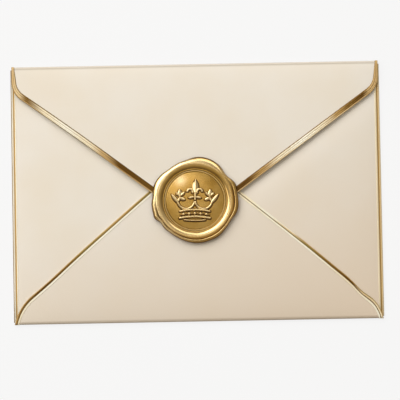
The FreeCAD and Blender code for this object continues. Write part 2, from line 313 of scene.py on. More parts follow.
class Graph:
    """The nodes of one material or of the world."""

    def __init__(self, tree: bpy.types.NodeTree) -> None:
        """Empty a node tree and take it over."""
        tree.nodes.clear()
        self.tree = tree

    def node(self, kind: str, settings: dict | None = None, inputs: dict | None = None) -> bpy.types.Node:
        """Add a node, set it up and feed its sockets.

        Args:
            kind: The node's type name.
            settings: Properties set first. "stops" is a ramp's (position, colour) pairs.
            inputs: Socket name or number, to a value, a socket or a Number.

        Returns:
            The new node.
        """
        made = self.tree.nodes.new(kind)
        for key, value in (settings or {}).items():
            if key == "stops":
                self.set_stops(made.color_ramp, value)
            else:
                setattr(made, key, value)
        for key, value in (inputs or {}).items():
            source = value.socket if isinstance(value, Number) else value
            if isinstance(source, bpy.types.NodeSocket):
                self.tree.links.new(source, made.inputs[key])
            else:
                made.inputs[key].default_value = source
        return made

    @staticmethod
    def set_stops(ramp: bpy.types.ColorRamp, stops: Sequence[Stop]) -> None:
        """Give a new ramp its stops, at least two, in rising order."""
        ramp.interpolation = "EASE"
        for _ in range(len(stops) - len(ramp.elements)):
            ramp.elements.new(1.0)
        for element, (position, colour) in zip(ramp.elements, stops):
            element.position = position
            element.color = (*colour, 1.0)

    def number(self, kind: str, output: str | int, settings: dict, inputs: dict) -> Number:
        """Add a node and keep one of its outputs as a Number."""
        return Number(self, self.node(kind, settings, inputs).outputs[output])

    def attribute(self, name: str) -> Number:
        """The values of an attribute on the piece's points."""
        return self.number("ShaderNodeAttribute", "Fac", {"attribute_name": name}, {})

    def place(self) -> bpy.types.NodeSocket:
        """The piece's own coordinates, in metres."""
        return self.node("ShaderNodeTexCoord").outputs["Object"]

    def noise(self, feature_mm: float, detail: float = 3.0, roughness: float = 0.5) -> Number:
        """A noise whose largest features have this size, with values round one half."""
        scale = 1.0 / (feature_mm * MM)
        inputs = {"Vector": self.place(), "Scale": scale, "Detail": detail, "Roughness": roughness}
        return self.number("ShaderNodeTexNoise", "Fac", {}, inputs)

    def mix(self, share: Number, first: Paint, second: Paint, blend: str = "MIX") -> bpy.types.NodeSocket:
        """Lay a share of the second colour over the first.

        Args:
            share: How much of the second colour there is.
            first: A colour or a colour socket.
            second: A colour or a colour socket.
            blend: The way in which the second is laid over the first.

        Returns:
            The mixed colour.
        """
        settings = {"data_type": "RGBA", "blend_type": blend}
        node = self.node("ShaderNodeMix", settings, {"Factor": share})
        for key, colour in (("A", first), ("B", second)):
            socket = next(s for s in node.inputs if s.name == key and s.type == "RGBA")
            if isinstance(colour, bpy.types.NodeSocket):
                self.tree.links.new(colour, socket)
            else:
                socket.default_value = (*colour, 1.0)
        return next(s for s in node.outputs if s.type == "RGBA")

    def bump(self, height: Number, depth_mm: float) -> bpy.types.NodeSocket:
        """Turn a height of 0 to 1 into a normal, for relief of this depth."""
        inputs = {"Height": height, "Strength": 1.0, "Distance": depth_mm * MM}
        return self.node("ShaderNodeBump", {}, inputs).outputs["Normal"]

    def surface(self, shader: bpy.types.NodeSocket) -> None:
        """Send a shader to the material's output."""
        self.node("ShaderNodeOutputMaterial", {}, {"Surface": shader})

    def principled(self, inputs: dict) -> None:
        """Finish the material with a Principled shader that has these inputs."""
        self.surface(self.node("ShaderNodeBsdfPrincipled", {}, inputs).outputs[0])


def new_material(name: str) -> tuple[bpy.types.Material, Graph]:
    """A new material and its empty graph."""
    material = bpy.data.materials.new(name)
    material.use_nodes = True
    return material, Graph(material.node_tree)


@dataclass(frozen=True)
class PaperFinish:
    """Smooth cream stationery with faint clouds, a fine fibre and a low sheen, and with painted shade
    towards the lower right and along its creases.

    A span is the stretch of a noise's values over which its effect fades in.
    """

    name: str = "cream_paper"
    light: Colour = linear(239, 233, 222)
    deep: Colour = linear(237, 228, 212)
    # Colour of the painted shade along the creases
    crease_shade: Colour = linear(138, 118, 92)
    lower_right_shade: Colour = linear(228, 211, 189)
    lower_right_shade_lean: float = 0.35
    lower_right_shade_start: float = -0.01
    lower_right_shade_end: float = 0.082
    roughness: float = 0.55
    fibre_roughness: float = 0.08
    sheen: float = 0.35
    cloud_mm: float = 28.0
    cloud_span: tuple[float, float] = (0.3, 0.7)
    fibre_mm: float = 0.7
    fibre_detail: float = 4.0
    fibre_harshness: float = 0.6
    fibre_depth_mm: float = 0.006
    fleck_share: float = 0.12
    fleck_span: tuple[float, float] = (0.62, 0.8)
    crease_shade_share: float = 0.7

    def material(self) -> bpy.types.Material:
        """Build the material: clouds, painted shade towards the lower right and painted crease shade in the
        colour, and fibre in the relief.
        """
        material, graph = new_material(self.name)
        clouds = graph.noise(self.cloud_mm).between(*self.cloud_span)
        fibre = graph.noise(self.fibre_mm, self.fibre_detail, self.fibre_harshness)
        tone = graph.mix(clouds, self.light, self.deep)
        parts = graph.node("ShaderNodeSeparateXYZ", {}, {0: graph.place()}).outputs
        # Painted shade: the paper grows darker and warmer towards the lower right, away from the light.
        down = Number(graph, parts[0]) * self.lower_right_shade_lean - Number(graph, parts[1])
        lower_right_shade = graph.mix(down.between(self.lower_right_shade_start, self.lower_right_shade_end), tone, self.lower_right_shade)
        flecks = fibre.between(*self.fleck_span) * self.fleck_share
        fleck = graph.mix(flecks, lower_right_shade, self.deep, "MULTIPLY")
        # Painted shade along the creases and round the folds, from the points' tone
        crease_shaded = graph.mix(graph.attribute("tone").clamped() * self.crease_shade_share, fleck, self.crease_shade)
        inputs = {
            "Base Color": crease_shaded,
            "Roughness": self.roughness + self.fibre_roughness * fibre,
            "Normal": graph.bump(fibre, self.fibre_depth_mm),
            "Specular IOR Level": self.sheen,
        }
        graph.principled(inputs)
        return material


@dataclass(frozen=True)
class GiltLine:
    """One line of a border: how far in it starts and ends, and its colours on the way."""

    start: float
    end: float
    stops: tuple[Stop, ...]


@dataclass(frozen=True)
class GiltFinish:
    """Foil in gold tones with painted reflections: it goes from ivory to bronze along its run, as a bent
    mirror's reflections do.

    The first line fills the whole border and each later one is laid over it. The stops
    are laid out along the object's X or Y, over the length of the envelope.
    """

    name: str
    lines: tuple[GiltLine, ...]
    # Colour of the wear flecks, and of the painted shade in the grooves and along the foil's edges
    groove: Colour = linear(92, 66, 26)
    groove_shade_share: float = 0.5
    along_y: bool = False
    span_mm: float = 162.0
    metallic: float = 0.24
    sheen: float = 0.15
    roughness: float = 0.30
    grain_roughness: float = 0.1
    worn_share: float = 0.12
    worn_span: tuple[float, float] = (0.55, 0.8)
    wave_mm: float = 9.0
    wave_share: float = 0.02
    grain_mm: float = 0.5
    grain_depth_mm: float = 0.004
    edge_mm: float = 0.07

    def material(self) -> bpy.types.Material:
        """Build the material from the place along the border, which sets the painted reflections, and the
        depth across it.
        """
        material, graph = new_material(self.name)
        parts = graph.node("ShaderNodeSeparateXYZ", {}, {0: graph.place()})
        run = Number(graph, parts.outputs[1 if self.along_y else 0])
        wave = graph.noise(self.wave_mm, 2.0) - 0.5
        grain = graph.noise(self.grain_mm, 2.0)
        share = run / (self.span_mm * MM) + 0.5 + self.wave_share * wave
        across = graph.attribute("across")
        colour = None
        # Each line's ramp paints the foil's reflections along its run: highlights and shade
        for line in self.lines:
            tones = graph.node("ShaderNodeValToRGB", {"stops": line.stops}, {"Fac": share}).outputs["Color"]
            if colour is None:
                colour = tones
                continue
            inside = across.between(line.start - self.edge_mm, line.start + self.edge_mm)
            past = across.between(line.end - self.edge_mm, line.end + self.edge_mm)
            colour = graph.mix(inside * (1.0 - past), colour, tones)
        wear_and_highlight = graph.mix(grain.between(*self.worn_span) * self.worn_share, colour, self.groove)
        # Painted shade in the grooves and along the foil's edges, where the points' hollow value is high
        groove_shaded = graph.mix(graph.attribute("hollow").clamped() * self.groove_shade_share, wear_and_highlight, self.groove)
        inputs = {
            "Base Color": groove_shaded,
            "Metallic": self.metallic,
            "Specular IOR Level": self.sheen,
            "Roughness": self.roughness + self.grain_roughness * grain,
            "Normal": graph.bump(grain, self.grain_depth_mm),
        }
        graph.principled(inputs)
        return material


@dataclass(frozen=True)
class WaxFinish:
    """Gold sealing wax: a bright metallic skin, with painted highlights on its rim and crown and painted
    shade in its hollows.
    """

    name: str = "gold_wax"
    body: Colour = linear(209, 169, 92)
    deep: Colour = linear(197, 154, 74)
    # Painted highlight colour, for the slopes that face the light, the crown and the glint
    rubbed: Colour = linear(246, 220, 166)
    # Painted shade colour, for the hollows, round the crown and along the foot and wall
    hollow: Colour = linear(82, 52, 14)
    metallic: float = 0.9
    roughness: float = 0.17
    mottle_roughness: float = 0.1
    mottle_mm: float = 5.0
    mottle_span: tuple[float, float] = (0.35, 0.65)
    mottle_height: float = 0.6
    grain_mm: float = 0.45
    grain_height: float = 0.4
    relief_mm: float = 0.02

    def material(self) -> bpy.types.Material:
        """Build the material from the painted highlight and painted shade kept on the points, and a soft
        mottle.
        """
        material, graph = new_material(self.name)
        mottle = graph.noise(self.mottle_mm)
        grain = graph.noise(self.grain_mm)
        skin = graph.mix(mottle.between(*self.mottle_span), self.deep, self.body)
        # Painted highlight, then painted shade, from the values kept on the points
        highlighted = graph.mix(graph.attribute("rubbed").clamped(), skin, self.rubbed)
        colour = graph.mix(graph.attribute("hollow").clamped(), highlighted, self.hollow)
        dents = self.mottle_height * mottle + self.grain_height * grain
        inputs = {
            "Base Color": colour,
            "Metallic": self.metallic,
            "Roughness": self.roughness + self.mottle_roughness * mottle,
            "Normal": graph.bump(dents, self.relief_mm),
        }
        graph.principled(inputs)
        return material


@dataclass(frozen=True)
class BackdropFinish:
    """A pale surface that the camera sees almost evenly lit, with a soft shadow left."""

    name: str = "pale_backdrop"
    colour: Colour = linear(248, 248, 248)
    shadow_share: float = 0.12

    def material(self) -> bpy.types.Material:
        """Build the material: mostly its own plain colour to the eye, metal and glass."""
        material, graph = new_material(self.name)
        rays = graph.node("ShaderNodeLightPath")
        names = ("Is Camera Ray", "Is Glossy Ray", "Is Transmission Ray")
        camera, glossy, clear = (Number(graph, rays.outputs[name]) for name in names)
        seen = (camera + glossy + clear).clamped()
        diffuse = graph.node("ShaderNodeBsdfDiffuse", {}, {"Color": (*self.colour, 1.0)})
        flat = graph.node("ShaderNodeEmission", {}, {"Color": (*self.colour, 1.0), "Strength": 1.0})
        inputs = {0: (1.0 - self.shadow_share) * seen, 1: diffuse.outputs[0], 2: flat.outputs[0]}
        graph.surface(graph.node("ShaderNodeMixShader", {}, inputs).outputs[0])
        return material


@dataclass(frozen=True)
class Sheet:
    """The folded blank: its outer size, its layers and the soft rise of its flaps."""

    width: float = 162.0
    height: float = 114.0
    paper: float = 0.30
    pocket_gap: float = 0.40
    layer_gap: float = 0.10
    pillow_rise: float = 1.80
    foil: float = 0.12
    bead_rise: float = 0.10
    side_setback: float = 0.30
    spring_share: float = 0.22
    spring_reach: float = 3.2
    dip_share: float = 0.42
    dip_width: float = 5.8
    edge_slope: float = 0.8
    cover_edge: tuple[Array, Array] | None = None

    @property
    def side_level(self) -> float:
        """The underside of the side flaps at their crease."""
        return self.paper + self.pocket_gap

    @property
    def bottom_level(self) -> float:
        """The underside of the bottom flap at its crease."""
        return self.side_level + self.paper + self.layer_gap

    @property
    def top_level(self) -> float:
        """The underside of the top flap at its crease, over the foil of the bottom flap."""
        return self.bottom_level + self.paper + self.foil + self.bead_rise + self.layer_gap

    def fold_radius(self, level: float) -> float:
        """The outer radius of the crease of a flap at this level."""
        return (level + self.paper) / 2.0

    @property
    def half(self) -> float:
        """Half the width of the flat front panel."""
        return self.width / 2.0 - self.foil - self.fold_radius(self.side_level)

    @property
    def top(self) -> float:
        """Where the crease of the top flap starts."""
        return self.height / 2.0 - self.foil - self.fold_radius(self.top_level)

    @property
    def bottom(self) -> float:
        """Where the crease of the bottom flap starts."""
        return -self.height / 2.0 + self.foil + self.fold_radius(self.bottom_level)

    def pillow(self, x: Array, y: Array) -> Array:
        """Work out how far the flaps rise: rise times (1 - u^4) times (1 - v^4).

        Beside a crease the paper springs up more quickly, by a share of the rise times
        1 - exp(-distance / reach) from both pairs of creases.

        Args:
            x: Places along the width.
            y: Places across the height.

        Returns:
            The rise at each place, which is 0 at and past the creases.
        """
        middle, span = (self.top + self.bottom) / 2.0, (self.top - self.bottom) / 2.0
        soft, spring = 1.0, 1.0
        for place, half in ((x, self.half), (y - middle, span)):
            inward = np.maximum(half - np.abs(place), 0.0)
            soft = soft * (1.0 - np.clip(place / half, -1.0, 1.0) ** 4)
            spring = spring * (1.0 - np.exp(-inward / self.spring_reach))
        return self.pillow_rise * (self.spring_share * spring + (1.0 - self.spring_share) * soft)

    def dip(self, x: Array, y: Array) -> Array:
        """Work out how far the paper beside the top flap's edge is pressed down.

        It is a share of the pillow, times the bell curve of the distance square to the
        edge, and stays at its full depth under the flap.

        Args:
            x: Places along the width.
            y: Places across the height.

        Returns:
            The depth at each place.
        """
        gap = np.maximum(np.interp(x, *self.cover_edge) - y, 0.0) * self.edge_slope
        return self.dip_share * self.pillow(x, y) * bell(gap, 0.0, self.dip_width)


@dataclass(frozen=True)
class Bow:
    """A place along the width where a flap's edge is bowed inwards."""

    place: float
    depth: float
    width: float


@dataclass(frozen=True)
class Flap:
    """A flap that folds over from the top edge (sign 1) or the bottom edge (sign -1)."""

    sheet: Sheet
    sign: int
    crease: float
    level: float
    shoulder_drop: float
    shoulder_inset: float
    shoulder_radius: float
    tip_past_middle: float
    tip_x: float
    tip_radius: float
    end_share: float = 0.5
    bows: tuple[Bow, ...] = ()
    points_per_stretch: tuple[int, ...] = (8, 20, 190, 190, 20, 8)
    points_per_bend: int = 30

    @property
    def quarter(self) -> float:
        """The length of paper in the upper quarter of the fold."""
        return self.sheet.fold_radius(self.level) * math.pi / 2.0

    def side_line(self, side: int, inset: float) -> tuple[Array, Array, Array]:
        """Find one side of the outline, or of a line inside it.

        Args:
            side: 1 for the right side, -1 for the left one.
            inset: How far inside the edge the line runs, which narrows to the crease.

        Returns:
            The end at the crease, the shoulder, and the direction on to the tip.
        """
        shoulder_y = self.sign * (self.sheet.height / 2.0 - self.shoulder_drop)
        shoulder = np.array([side * (self.sheet.half - self.shoulder_inset), shoulder_y])
        tip = np.array([self.tip_x, -self.sign * self.tip_past_middle])
        slope = unit(tip - shoulder)
        inward = np.array([-side * abs(slope[1]), self.sign * abs(slope[0])])
        end = np.array([side * (self.sheet.half - inset * self.end_share), self.crease])
        down = shoulder - np.array([side * inset, 0.0]) - end
        return end, meeting(end, down, shoulder + inward * inset, slope), slope

    def outline(self, inset: float = 0.0) -> Array:
        """Walk the edge from the right crease over the tip to the left crease.

        The sides are bowed inwards by bell curves of the place along the width.

        Args:
            inset: How far inside the edge the walk goes.

        Returns:
            Points in the plane of the opened flap, from past the one crease to past
            the other by a quarter of the fold, and as many for any inset.
        """
        right_end, right_shoulder, right_slope = self.side_line(1, inset)
        left_end, left_shoulder, left_slope = self.side_line(-1, inset)
        tip = meeting(right_shoulder, right_slope, left_shoulder, left_slope)
        beyond = np.array([0.0, self.sign * self.quarter])
        bend = self.shoulder_radius - inset
        corners = [
            (*(right_end + beyond), 0.0),
            (*right_end, 0.0),
            (*right_shoulder, bend),
            (*tip, self.tip_radius - inset),
            (*left_shoulder, bend),
            (*left_end, 0.0),
            (*(left_end + beyond), 0.0),
        ]
        path = rounded_path(corners, self.points_per_stretch, self.points_per_bend)
        for bow in self.bows:
            path[:, 1] += self.sign * bow.depth * bell(path[:, 0], bow.place, bow.width)
        return path

    def edge(self, x: Array) -> Array:
        """The y of the flap's free edge at each x."""
        path = self.outline()[::-1]
        return np.interp(x, path[:, 0], path[:, 1])

    def lifted(self, x: Array, y: Array, height: Array | float) -> Array:
        """Carry places on the opened flap to where the folded flap holds them.

        Up to the crease a place lies on the pillow. Past it, the distance from the
        crease divided by the fold's radius is the angle turned round the fold.

        Args:
            x: Places along the width.
            y: Places across the height, past the crease where they turn round it.
            height: How far each place stands above the paper.

        Returns:
            Points in space, with one more axis than the inputs.
        """
        radius = self.sheet.fold_radius(self.level)
        past = np.maximum(self.sign * (y - self.crease), 0.0) / radius
        reach = radius + height
        flat_z = self.level + self.sheet.paper + self.rise(x, y) + height
        turned_y = self.crease + self.sign * reach * np.sin(past)
        turned_z = radius + reach * np.cos(past)
        over = past > 0.0
        return stacked(x, np.where(over, turned_y, y), np.where(over, turned_z, flat_z))

    def rise(self, x: Array, y: Array) -> Array:
        """The pillow, less the dip beside the top flap for a flap that lies under it."""
        return self.sheet.pillow(x, y) - (self.sheet.dip(x, y) if self.sign < 0 else 0.0)


@dataclass(frozen=True)
class FoldShade:
    """The painted shade of a fold: a dark line by its crease, and shade on its turn as a bell curve of the
    angle.
    """

    line: float
    turn: float
    middle: float
    spread: float
    line_middle: float = 0.1
    line_spread: float = 0.28

    def tone(self, angle: Array) -> Array:
        """The sum of both bell curves at these angles, held between 0 and 1."""
        line = self.line * bell(angle, self.line_middle, self.line_spread)
        return np.clip(line + self.turn * bell(angle, self.middle, self.spread), 0.0, 1.0)


@dataclass
class FoldedPaper:
    """The blank in one piece: front panel, creases and the four flaps."""

    sheet: Sheet
    top_flap: Flap
    bottom_flap: Flap
    finish: PaperFinish
    side_tip_inset: float = 8.0
    side_tip_half: float = 7.0
    side_tip_radius: float = 6.0
    side_points: tuple[int, ...] = (120, 12, 120)
    side_bend_points: int = 20
    crease_shade_width: float = 0.42
    crease_shade_tone: float = 0.55
    top_shade: FoldShade = FoldShade(0.6, 0.65, 1.3, 0.7)
    bottom_shade: FoldShade = FoldShade(0.55, 1.0, 1.3, 0.85)
    columns: int = 200
    flap_rows: int = 80
    side_rows: int = 90
    fold_rows: int = 16

    def fold(self, crease: float, sign: int, level: float, depth: float) -> Array:
        """Turn the paper from a flap round a crease to the front panel.

        A point is the crease's centre plus (radius - depth) times (sin, cos) of an
        angle that runs from 0 at the flap to half a turn at the panel.

        Args:
            crease: Where the crease starts.
            sign: The side it bulges to.
            level: The level of the flap.
            depth: How far the surface lies inside the paper's outer side.

        Returns:
            (place, height) pairs, one row each.
        """
        radius = self.sheet.fold_radius(level)
        angle, reach = self.fold_angles, radius - depth
        return np.column_stack([crease + sign * reach * np.sin(angle), radius + reach * np.cos(angle)])

    @property
    def fold_angles(self) -> Array:
        """The angle of each row of a fold, from 0 at the flap to half a turn."""
        return np.linspace(0.0, math.pi, self.fold_rows + 1)

    def flap_run(self, flap: Flap, x: Array, depth: float) -> tuple[Array, Array]:
        """Lay each column of a flap from its free edge to its crease, over the pillow.

        Args:
            flap: The flap.
            x: The columns.
            depth: How far the surface lies inside the paper's outer side.

        Returns:
            Points, columns by rows by 3, and how dark each place is.
        """
        share = smooth(np.linspace(0.0, 1.0, self.flap_rows + 1))[None, :-1]
        edge = flap.edge(x)[:, None]
        y = edge + (flap.crease - edge) * share
        # Painted shade along the crease, where the flap starts to turn
        tone = self.crease_shade_tone * bell(y, flap.crease, self.crease_shade_width)
        return flap.lifted(x[:, None], y, -depth), tone

    def long_run(self, depth: float) -> tuple[Array, Array]:
        """Lay the paper from the top flap's edge round the panel to the bottom flap's.

        Args:
            depth: How far the surface lies inside the paper's outer side.

        Returns:
            Points, columns by rows by 3, and how dark each place is.
        """
        sheet = self.sheet
        x = sheet.half * eased(self.columns)
        top = self.fold(sheet.top, 1, self.top_flap.level, depth)
        bottom = self.fold(sheet.bottom, -1, self.bottom_flap.level, depth)[::-1]
        section = np.vstack([top, bottom])
        middle = stacked(x[:, None], *section.T)
        angle = self.fold_angles
        # Painted shade round the turn of each fold
        turn = np.concatenate([self.top_shade.tone(angle), self.bottom_shade.tone(angle)[::-1]])
        over, over_tone = self.flap_run(self.top_flap, x, depth)
        under, under_tone = self.flap_run(self.bottom_flap, x, depth)
        points = np.concatenate([over, middle, under[:, ::-1]], axis=1)
        shade = np.broadcast_to(turn, middle.shape[:2])
        return points, np.concatenate([over_tone, shade, under_tone[:, ::-1]], axis=1)

    def side_run(self, side: int, depth: float) -> tuple[Array, Array]:
        """Lay a side flap from its free edge round its crease to the panel.

        Args:
            side: 1 for the right flap, -1 for the left one.
            depth: How far the surface lies inside the paper's outer side.

        Returns:
            Points, rows along the crease by places across it by 3, and their tone.
        """
        sheet = self.sheet
        low, high = sheet.bottom + sheet.side_setback, sheet.top - sheet.side_setback
        corners = [
            (sheet.half, high, 0.0),
            (self.side_tip_inset, self.side_tip_half, self.side_tip_radius),
            (self.side_tip_inset, -self.side_tip_half, self.side_tip_radius),
            (sheet.half, low, 0.0),
        ]
        path = rounded_path(corners, self.side_points, self.side_bend_points)[::-1]
        y = (low + high) / 2.0 + (high - low) / 2.0 * eased(self.columns)
        edge = np.interp(y, path[:, 1], path[:, 0])[:, None]
        share = smooth(np.linspace(0.0, 1.0, self.side_rows + 1))[None, :-1]
        x = edge + (sheet.half - edge) * share
        rise = sheet.pillow(x, y[:, None]) - sheet.dip(side * x, y[:, None])
        flat = stacked(x, y[:, None], sheet.side_level + sheet.paper - depth + rise)
        place, height = self.fold(sheet.half, 1, sheet.side_level, depth).T
        turned = stacked(place, y[:, None], height)
        run = np.concatenate([flat, turned], axis=1) * np.array([side, 1.0, 1.0])
        return run, np.zeros(run.shape[:2])

    def build(self) -> bpy.types.Object:
        """Make the sheet from three closed runs of paper and dress it."""
        surface = Surface()
        thickness = self.sheet.paper
        outer, tone = self.long_run(0.0)
        surface.slab(outer, self.long_run(thickness)[0], tone)
        for side in (-1, 1):
            outer, tone = self.side_run(side, 0.0)
            surface.slab(outer, self.side_run(side, thickness)[0], tone)
        piece = surface.mesh("folded_paper", sharp_degrees=35.0)
        piece.data.materials.append(self.finish.material())
        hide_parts("envelope_sheet")
        return piece


@dataclass(frozen=True)
class Bead:
    """A raised stretch of a border, from one distance from the edge to another."""

    start: float
    end: float
    height: float


@dataclass(frozen=True)
class BorderSection:
    """What a border looks like cut across: beads on a thin strip of foil."""

    width: float
    foil: float
    beads: tuple[Bead, ...]
    points_per_bead: int = 9
    groove_power: int = 20

    def walk(self) -> tuple[Array, Array, Array]:
        """Walk the top of the section from the paper's edge inwards.

        Over a bead the height is the foil plus the bead's own height times the square
        root of 1 - t^2, where t runs from -1 to 1 across it. How deep in a groove a
        place is goes by a high power of t.

        Returns:
            The distance from the edge, the height, and how deep in a groove it is.
        """
        distance, height, hollow = [0.0], [0.0], [1.0]
        for bead in self.beads:
            t = eased(self.points_per_bead)
            middle, half = (bead.start + bead.end) / 2.0, (bead.end - bead.start) / 2.0
            distance.extend(middle + half * t)
            height.extend(self.foil + bead.height * np.sqrt(np.maximum(1.0 - t**2, 0.0)))
            hollow.extend(np.abs(t) ** self.groove_power)
        distance.append(self.width)
        height.append(0.0)
        hollow.append(1.0)
        return np.array(distance), np.array(height), np.array(hollow)

    def strip(
        self, name: str, top: Array, under: Array, finish: GiltFinish
    ) -> bpy.types.Object:
        """Close the top and underside of a carried section into a dressed piece.

        Args:
            name: The piece's name.
            top: Points along the border by points across it by 3.
            under: The underside, in the same order.
            finish: What the foil looks like.

        Returns:
            The finished piece.
        """
        distance, _, hollow = self.walk()
        ring = np.concatenate([top, under[:, ::-1]], axis=1)
        groove, across = (np.concatenate([values, values[::-1]]) for values in (hollow, distance))
        surface = Surface()
        surface.grid(ring, wrap_columns=True, hollow=groove, across=across)
        for index in (0, -1):
            cap = np.stack([top[index], under[index]])
            surface.grid(cap, hollow=hollow, across=distance)
        piece = surface.mesh(name, sharp_degrees=50.0)
        piece.data.materials.append(finish.material())
        return piece


@dataclass
class FlapBorder:
    """Foil along the edge of a flap, narrower towards the creases that it turns over."""

    name: str
    node: str
    flap: Flap
    section: BorderSection
    finish: GiltFinish

    def build(self) -> bpy.types.Object:
        """Carry the section along the flap's edge and dress it.

        A point of the section at distance d lies on the outline inset by d, and at
        its height above the paper.
        """
        distance, height, _ = self.section.walk()
        lines = np.stack([self.flap.outline(inset) for inset in distance], axis=1)
        top = self.flap.lifted(lines[..., 0], lines[..., 1], height)
        under = self.flap.lifted(lines[..., 0], lines[..., 1], 0.0)
        piece = self.section.strip(self.name, top, under, self.finish)
        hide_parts(self.node)
        return piece


@dataclass
class SideBorder:
    """Foil along a side crease, turned over its edge, up to where the bottom flap lies."""

    name: str
    node: str
    side: int
    sheet: Sheet
    bottom_flap: Flap
    section: BorderSection
    finish: GiltFinish
    clearance: float = 0.15
    rows: int = 220

    def build(self) -> bpy.types.Object:
        """Carry the section down the crease and dress it.

        Distances below 0 turn round the fold: their size divided by its radius is the
        angle from the top of the fold.
        """
        sheet = self.sheet
        radius = sheet.fold_radius(sheet.side_level)
        low, high = sheet.bottom + sheet.side_setback, sheet.top - sheet.side_setback
        distance, height, _ = self.section.walk()
        distance = distance - radius * math.pi / 2.0
        x = sheet.half - np.maximum(distance, 0.0)
        covered = np.maximum(self.bottom_flap.edge(self.side * x) + self.clearance, low)
        end = np.where(distance > 0.0, covered, low)
        y = high + (end - high) * np.linspace(0.0, 1.0, self.rows)[:, None]
        mirror = np.array([self.side, 1.0, 1.0])
        top = self.turned(distance, y, height, radius) * mirror
        under = self.turned(distance, y, 0.0, radius) * mirror
        piece = self.section.strip(self.name, top, under, self.finish)
        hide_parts(self.node)
        return piece

    def turned(
        self, distance: Array, y: Array, height: Array | float, radius: float
    ) -> Array:
        """Place points on the side flap or round its crease.

        Args:
            distance: Distances in from the crease, negative where they turn round it.
            y: Places along the crease.
            height: Heights above the paper.
            radius: The outer radius of the fold.

        Returns:
            Points for the right side, with one more axis than y.
        """
        sheet = self.sheet
        angle = np.maximum(-distance, 0.0) / radius
        reach = radius + height
        flat_x = sheet.half - distance
        rise = sheet.pillow(flat_x, y) - sheet.dip(self.side * flat_x, y)
        flat_z = sheet.side_level + sheet.paper + rise + height
        x = np.where(distance < 0.0, sheet.half + reach * np.sin(angle), flat_x)
        z = np.where(distance < 0.0, radius + reach * np.cos(angle), flat_z)
        return stacked(x, y, z)


class Ridge(Enum):
    """How the back of a relief shape is formed."""

    ROUND = "round"
    GABLE = "gable"


@dataclass(frozen=True)
class Leaf:
    """A pointed leaf of the crown, from its foot to its tip."""

    foot: tuple[float, float]
    tip: tuple[float, float]
    half_width: float
    ridge: Ridge = Ridge.ROUND
    full_at: float = 0.3

    def height(self, u: Array, v: Array) -> Array:
        """Work out the relief: the half-width falls as 1 - t^2 from middle to tips.

        Across the leaf the height falls from 1 at the ridge, straight for a gable and
        as the square root of 1 - s^2 for a round back. Where the leaf is narrower than
        its full height needs, it is lower.

        Args:
            u: Places across the stamped face.
            v: Places up the stamped face.

        Returns:
            Heights from 0 to 1.
        """
        foot, tip = np.array(self.foot), np.array(self.tip)
        length = float(np.linalg.norm(tip - foot))
        along_axis = (tip - foot) / length
        du, dv = u - foot[0], v - foot[1]
        t = 2.0 * (du * along_axis[0] + dv * along_axis[1]) / length - 1.0
        across = np.abs(dv * along_axis[0] - du * along_axis[1])
        room = np.maximum(self.half_width * (1.0 - t * t), 1e-6)
        s = np.clip(across / room, 0.0, 1.0)
        inside = np.abs(t) < 1.0
        body = 1.0 - s if self.ridge is Ridge.GABLE else np.sqrt(1.0 - s * s)
        return np.where(inside, body * np.minimum(1.0, room / self.full_at), 0.0)


@dataclass(frozen=True)
class Bar:
    """A bent bar of the crown, through three places, with round ends."""

    start: tuple[float, float]
    middle: tuple[float, float]
    end: tuple[float, float]
    half_width: float

    def circle(self) -> tuple[float, float, float]:
        """The middle and the radius of the circle through the three places."""
        (ax, ay), (bx, by), (cx, cy) = self.start, self.middle, self.end
        twice = 2.0 * (ax * (by - cy) + bx * (cy - ay) + cx * (ay - by))
        a2, b2, c2 = ax * ax + ay * ay, bx * bx + by * by, cx * cx + cy * cy
        x = (a2 * (by - cy) + b2 * (cy - ay) + c2 * (ay - by)) / twice
        y = (a2 * (cx - bx) + b2 * (ax - cx) + c2 * (bx - ax)) / twice
        return x, y, math.hypot(ax - x, ay - y)

    def height(self, u: Array, v: Array) -> Array:
        """Work out the relief: the square root of 1 - s^2, round the bar's own line.

        s is the distance from the arc, or past its ends from the end point, divided by
        the half-width.

        Args:
            u: Places across the stamped face.
            v: Places up the stamped face.

        Returns:
            Heights from 0 to 1.
        """
        x, y, radius = self.circle()
        way = math.atan2(self.middle[1] - y, self.middle[0] - x)
        turn = half_turn(np.arctan2(v - y, u - x) - way)
        limit, from_ends = 0.0, math.inf
        for end_u, end_v in (self.start, self.end):
            limit = max(limit, abs(half_turn(math.atan2(end_v - y, end_u - x) - way)))
            from_ends = np.minimum(from_ends, np.hypot(u - end_u, v - end_v))
        from_arc = np.abs(np.hypot(u - x, v - y) - radius)
        gap = np.where(np.abs(turn) <= limit, from_arc, from_ends)
        s = np.clip(gap / self.half_width, 0.0, 1.0)
        return np.sqrt(1.0 - s * s)


@dataclass(frozen=True)
class Pearl:
    """A small round bead of the crown."""

    place: tuple[float, float]
    radius: float

    def height(self, u: Array, v: Array) -> Array:
        """The square root of 1 - s^2, where s is the distance over the radius."""
        s = np.clip(np.hypot(u - self.place[0], v - self.place[1]) / self.radius, 0.0, 1.0)
        return np.sqrt(1.0 - s * s)


Relief = Leaf | Bar | Pearl


